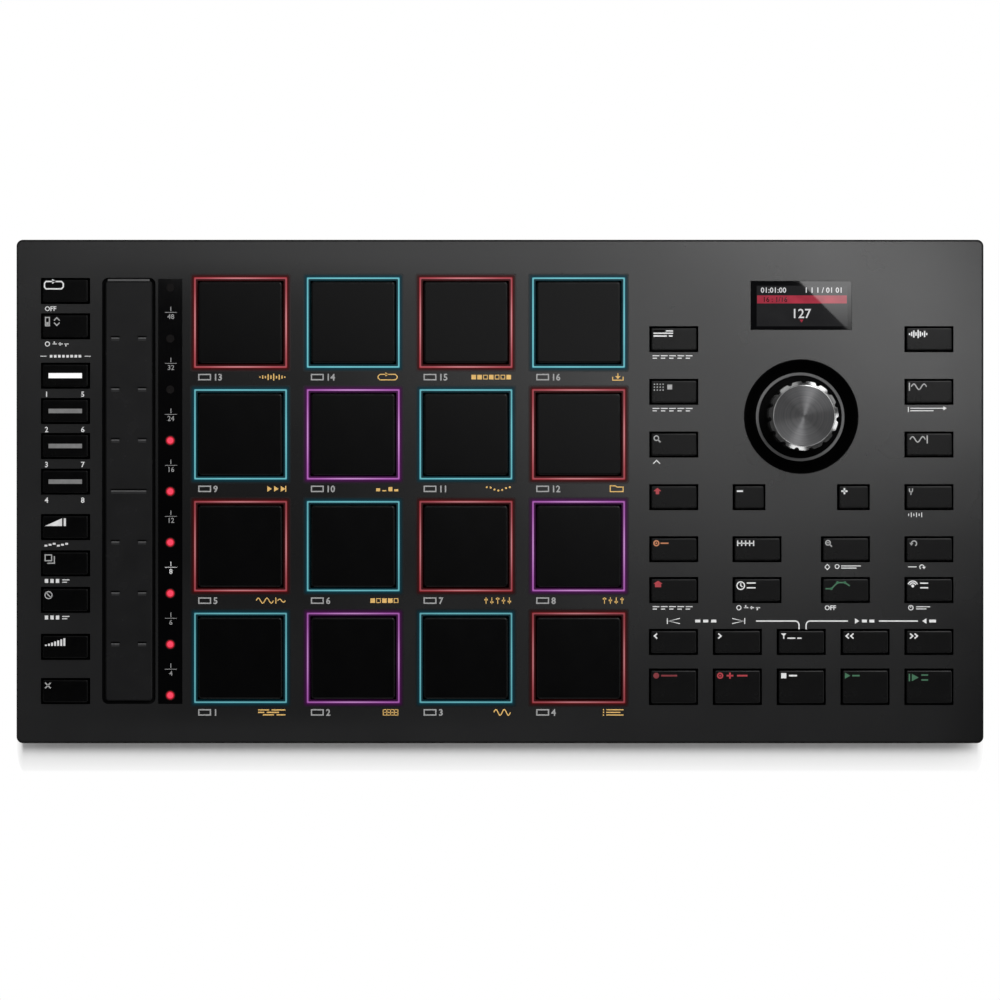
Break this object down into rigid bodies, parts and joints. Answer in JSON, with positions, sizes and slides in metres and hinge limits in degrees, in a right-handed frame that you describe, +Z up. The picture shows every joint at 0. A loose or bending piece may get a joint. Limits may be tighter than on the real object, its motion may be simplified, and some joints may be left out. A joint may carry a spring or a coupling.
{
  "type": "midi pad controller",
  "caption": "Flat desktop pad controller: square lit-edge pads, touch strip with level lamps, push buttons, small screen and a push-and-turn dial in a two-part plastic case.",
  "frame": {"origin": "on the desk, under the middle of the case", "axes": "+X to the user's right, +Y to the rear where the sockets are, +Z up"},
  "size_m": [0.315, 0.164, 0.046],
  "materials": {
    "case_plastic": "satin",
    "button_plastic": "satin",
    "pad_rubber": "matte",
    "light_guide": "satin",
    "strip_plastic": "matte",
    "smoked_window": "gloss",
    "display_glass": "gloss",
    "well_plastic": "satin",
    "knob_metal": "satin",
    "shaft_steel": "satin",
    "encoder_metal": "satin",
    "screw_steel": "satin",
    "socket_metal": "satin",
    "socket_plastic": "satin",
    "foot_rubber": "matte",
    "circuit_board": "satin",
    "switch_plastic": "satin",
    "lamp_resin": "satin"
  },
  "bodies": {
    "case": {"top_case": "case_plastic", "bottom_case": "case_plastic", "case_screws": "screw_steel", "rubber_feet": "foot_rubber", "main_board": "circuit_board", "key_switches": "switch_plastic", "pad_light_frames": "light_guide", "pad_mat": "pad_rubber", "pad_sensor_board": "circuit_board", "board_lamps": "lamp_resin", "touch_strip": "strip_plastic", "strip_window": "smoked_window", "screen_lens": "smoked_window", "display_module": "display_glass", "dial_well": "well_plastic", "encoder_body": "encoder_metal", "usb_socket": "socket_metal", "midi_jacks": "socket_plastic"},
    "repeat_button": {"repeat_button": "button_plastic"},
    "strip_mode_button": {"strip_mode_button": "button_plastic"},
    "bank_1_button": {"bank_1_button": "button_plastic"},
    "bank_2_button": {"bank_2_button": "button_plastic"},
    "bank_3_button": {"bank_3_button": "button_plastic"},
    "bank_4_button": {"bank_4_button": "button_plastic"},
    "full_level_button": {"full_level_button": "button_plastic"},
    "copy_button": {"copy_button": "button_plastic"},
    "mute_button": {"mute_button": "button_plastic"},
    "level_steps_button": {"level_steps_button": "button_plastic"},
    "erase_button": {"erase_button": "button_plastic"},
    "track_button": {"track_button": "button_plastic"},
    "program_button": {"program_button": "button_plastic"},
    "browse_button": {"browse_button": "button_plastic"},
    "shift_button": {"shift_button": "button_plastic"},
    "sample_select_button": {"sample_select_button": "button_plastic"},
    "sample_start_button": {"sample_start_button": "button_plastic"},
    "sample_end_button": {"sample_end_button": "button_plastic"},
    "tune_button": {"tune_button": "button_plastic"},
    "mode_button": {"mode_button": "button_plastic"},
    "quantize_button": {"quantize_button": "button_plastic"},
    "zoom_button": {"zoom_button": "button_plastic"},
    "undo_button": {"undo_button": "button_plastic"},
    "main_button": {"main_button": "button_plastic"},
    "time_correct_button": {"time_correct_button": "button_plastic"},
    "automation_button": {"automation_button": "button_plastic"},
    "tap_button": {"tap_button": "button_plastic"},
    "minus_button": {"minus_button": "button_plastic"},
    "plus_button": {"plus_button": "button_plastic"},
    "step_back_button": {"step_back_button": "button_plastic"},
    "step_forward_button": {"step_forward_button": "button_plastic"},
    "locate_button": {"locate_button": "button_plastic"},
    "rewind_button": {"rewind_button": "button_plastic"},
    "fast_forward_button": {"fast_forward_button": "button_plastic"},
    "record_button": {"record_button": "button_plastic"},
    "overdub_button": {"overdub_button": "button_plastic"},
    "stop_button": {"stop_button": "button_plastic"},
    "play_button": {"play_button": "button_plastic"},
    "play_start_button": {"play_start_button": "button_plastic"},
    "push_stem": {"encoder_plunger": "switch_plastic"},
    "dial": {"knob": "knob_metal", "encoder_shaft": "shaft_steel"}
  },
  "joints": [
    {"name": "repeat_press", "type": "slide", "parent": "case", "child": "repeat_button", "axis": [0, 0, -1], "range_m": [0, 0.001], "stiffness_N_per_m": 800, "springref_m": -0.0005},
    {"name": "strip_mode_press", "type": "slide", "parent": "case", "child": "strip_mode_button", "axis": [0, 0, -1], "range_m": [0, 0.001], "stiffness_N_per_m": 800, "springref_m": -0.0005},
    {"name": "bank_1_press", "type": "slide", "parent": "case", "child": "bank_1_button", "axis": [0, 0, -1], "range_m": [0, 0.001], "stiffness_N_per_m": 800, "springref_m": -0.0005},
    {"name": "bank_2_press", "type": "slide", "parent": "case", "child": "bank_2_button", "axis": [0, 0, -1], "range_m": [0, 0.001], "stiffness_N_per_m": 800, "springref_m": -0.0005},
    {"name": "bank_3_press", "type": "slide", "parent": "case", "child": "bank_3_button", "axis": [0, 0, -1], "range_m": [0, 0.001], "stiffness_N_per_m": 800, "springref_m": -0.0005},
    {"name": "bank_4_press", "type": "slide", "parent": "case", "child": "bank_4_button", "axis": [0, 0, -1], "range_m": [0, 0.001], "stiffness_N_per_m": 800, "springref_m": -0.0005},
    {"name": "full_level_press", "type": "slide", "parent": "case", "child": "full_level_button", "axis": [0, 0, -1], "range_m": [0, 0.001], "stiffness_N_per_m": 800, "springref_m": -0.0005},
    {"name": "copy_press", "type": "slide", "parent": "case", "child": "copy_button", "axis": [0, 0, -1], "range_m": [0, 0.001], "stiffness_N_per_m": 800, "springref_m": -0.0005},
    {"name": "mute_press", "type": "slide", "parent": "case", "child": "mute_button", "axis": [0, 0, -1], "range_m": [0, 0.001], "stiffness_N_per_m": 800, "springref_m": -0.0005},
    {"name": "level_steps_press", "type": "slide", "parent": "case", "child": "level_steps_button", "axis": [0, 0, -1], "range_m": [0, 0.001], "stiffness_N_per_m": 800, "springref_m": -0.0005},
    {"name": "erase_press", "type": "slide", "parent": "case", "child": "erase_button", "axis": [0, 0, -1], "range_m": [0, 0.001], "stiffness_N_per_m": 800, "springref_m": -0.0005},
    {"name": "track_press", "type": "slide", "parent": "case", "child": "track_button", "axis": [0, 0, -1], "range_m": [0, 0.001], "stiffness_N_per_m": 800, "springref_m": -0.0005},
    {"name": "program_press", "type": "slide", "parent": "case", "child": "program_button", "axis": [0, 0, -1], "range_m": [0, 0.001], "stiffness_N_per_m": 800, "springref_m": -0.0005},
    {"name": "browse_press", "type": "slide", "parent": "case", "child": "browse_button", "axis": [0, 0, -1], "range_m": [0, 0.001], "stiffness_N_per_m": 800, "springref_m": -0.0005},
    {"name": "shift_press", "type": "slide", "parent": "case", "child": "shift_button", "axis": [0, 0, -1], "range_m": [0, 0.001], "stiffness_N_per_m": 800, "springref_m": -0.0005},
    {"name": "sample_select_press", "type": "slide", "parent": "case", "child": "sample_select_button", "axis": [0, 0, -1], "range_m": [0, 0.001], "stiffness_N_per_m": 800, "springref_m": -0.0005},
    {"name": "sample_start_press", "type": "slide", "parent": "case", "child": "sample_start_button", "axis": [0, 0, -1], "range_m": [0, 0.001], "stiffness_N_per_m": 800, "springref_m": -0.0005},
    {"name": "sample_end_press", "type": "slide", "parent": "case", "child": "sample_end_button", "axis": [0, 0, -1], "range_m": [0, 0.001], "stiffness_N_per_m": 800, "springref_m": -0.0005},
    {"name": "tune_press", "type": "slide", "parent": "case", "child": "tune_button", "axis": [0, 0, -1], "range_m": [0, 0.001], "stiffness_N_per_m": 800, "springref_m": -0.0005},
    {"name": "mode_press", "type": "slide", "parent": "case", "child": "mode_button", "axis": [0, 0, -1], "range_m": [0, 0.001], "stiffness_N_per_m": 800, "springref_m": -0.0005},
    {"name": "quantize_press", "type": "slide", "parent": "case", "child": "quantize_button", "axis": [0, 0, -1], "range_m": [0, 0.001], "stiffness_N_per_m": 800, "springref_m": -0.0005},
    {"name": "zoom_press", "type": "slide", "parent": "case", "child": "zoom_button", "axis": [0, 0, -1], "range_m": [0, 0.001], "stiffness_N_per_m": 800, "springref_m": -0.0005},
    {"name": "undo_press", "type": "slide", "parent": "case", "child": "undo_button", "axis": [0, 0, -1], "range_m": [0, 0.001], "stiffness_N_per_m": 800, "springref_m": -0.0005},
    {"name": "main_press", "type": "slide", "parent": "case", "child": "main_button", "axis": [0, 0, -1], "range_m": [0, 0.001], "stiffness_N_per_m": 800, "springref_m": -0.0005},
    {"name": "time_correct_press", "type": "slide", "parent": "case", "child": "time_correct_button", "axis": [0, 0, -1], "range_m": [0, 0.001], "stiffness_N_per_m": 800, "springref_m": -0.0005},
    {"name": "automation_press", "type": "slide", "parent": "case", "child": "automation_button", "axis": [0, 0, -1], "range_m": [0, 0.001], "stiffness_N_per_m": 800, "springref_m": -0.0005},
    {"name": "tap_press", "type": "slide", "parent": "case", "child": "tap_button", "axis": [0, 0, -1], "range_m": [0, 0.001], "stiffness_N_per_m": 800, "springref_m": -0.0005},
    {"name": "minus_press", "type": "slide", "parent": "case", "child": "minus_button", "axis": [0, 0, -1], "range_m": [0, 0.001], "stiffness_N_per_m": 800, "springref_m": -0.0005},
    {"name": "plus_press", "type": "slide", "parent": "case", "child": "plus_button", "axis": [0, 0, -1], "range_m": [0, 0.001], "stiffness_N_per_m": 800, "springref_m": -0.0005},
    {"name": "step_back_press", "type": "slide", "parent": "case", "child": "step_back_button", "axis": [0, 0, -1], "range_m": [0, 0.001], "stiffness_N_per_m": 800, "springref_m": -0.0005},
    {"name": "step_forward_press", "type": "slide", "parent": "case", "child": "step_forward_button", "axis": [0, 0, -1], "range_m": [0, 0.001], "stiffness_N_per_m": 800, "springref_m": -0.0005},
    {"name": "locate_press", "type": "slide", "parent": "case", "child": "locate_button", "axis": [0, 0, -1], "range_m": [0, 0.001], "stiffness_N_per_m": 800, "springref_m": -0.0005},
    {"name": "rewind_press", "type": "slide", "parent": "case", "child": "rewind_button", "axis": [0, 0, -1], "range_m": [0, 0.001], "stiffness_N_per_m": 800, "springref_m": -0.0005},
    {"name": "fast_forward_press", "type": "slide", "parent": "case", "child": "fast_forward_button", "axis": [0, 0, -1], "range_m": [0, 0.001], "stiffness_N_per_m": 800, "springref_m": -0.0005},
    {"name": "record_press", "type": "slide", "parent": "case", "child": "record_button", "axis": [0, 0, -1], "range_m": [0, 0.001], "stiffness_N_per_m": 800, "springref_m": -0.0005},
    {"name": "overdub_press", "type": "slide", "parent": "case", "child": "overdub_button", "axis": [0, 0, -1], "range_m": [0, 0.001], "stiffness_N_per_m": 800, "springref_m": -0.0005},
    {"name": "stop_press", "type": "slide", "parent": "case", "child": "stop_button", "axis": [0, 0, -1], "range_m": [0, 0.001], "stiffness_N_per_m": 800, "springref_m": -0.0005},
    {"name": "play_press", "type": "slide", "parent": "case", "child": "play_button", "axis": [0, 0, -1], "range_m": [0, 0.001], "stiffness_N_per_m": 800, "springref_m": -0.0005},
    {"name": "play_start_press", "type": "slide", "parent": "case", "child": "play_start_button", "axis": [0, 0, -1], "range_m": [0, 0.001], "stiffness_N_per_m": 800, "springref_m": -0.0005},
    {"name": "dial_push", "type": "slide", "parent": "case", "child": "push_stem", "axis": [0, 0, -1], "range_m": [0, 0.0005], "stiffness_N_per_m": 3000, "springref_m": -0.0005},
    {"name": "dial_turn", "type": "hinge", "parent": "push_stem", "child": "dial", "pos_m": [0.0981, 0.0244, 0.0376], "axis": [0, 0, 1], "continuous": true}
  ]
}
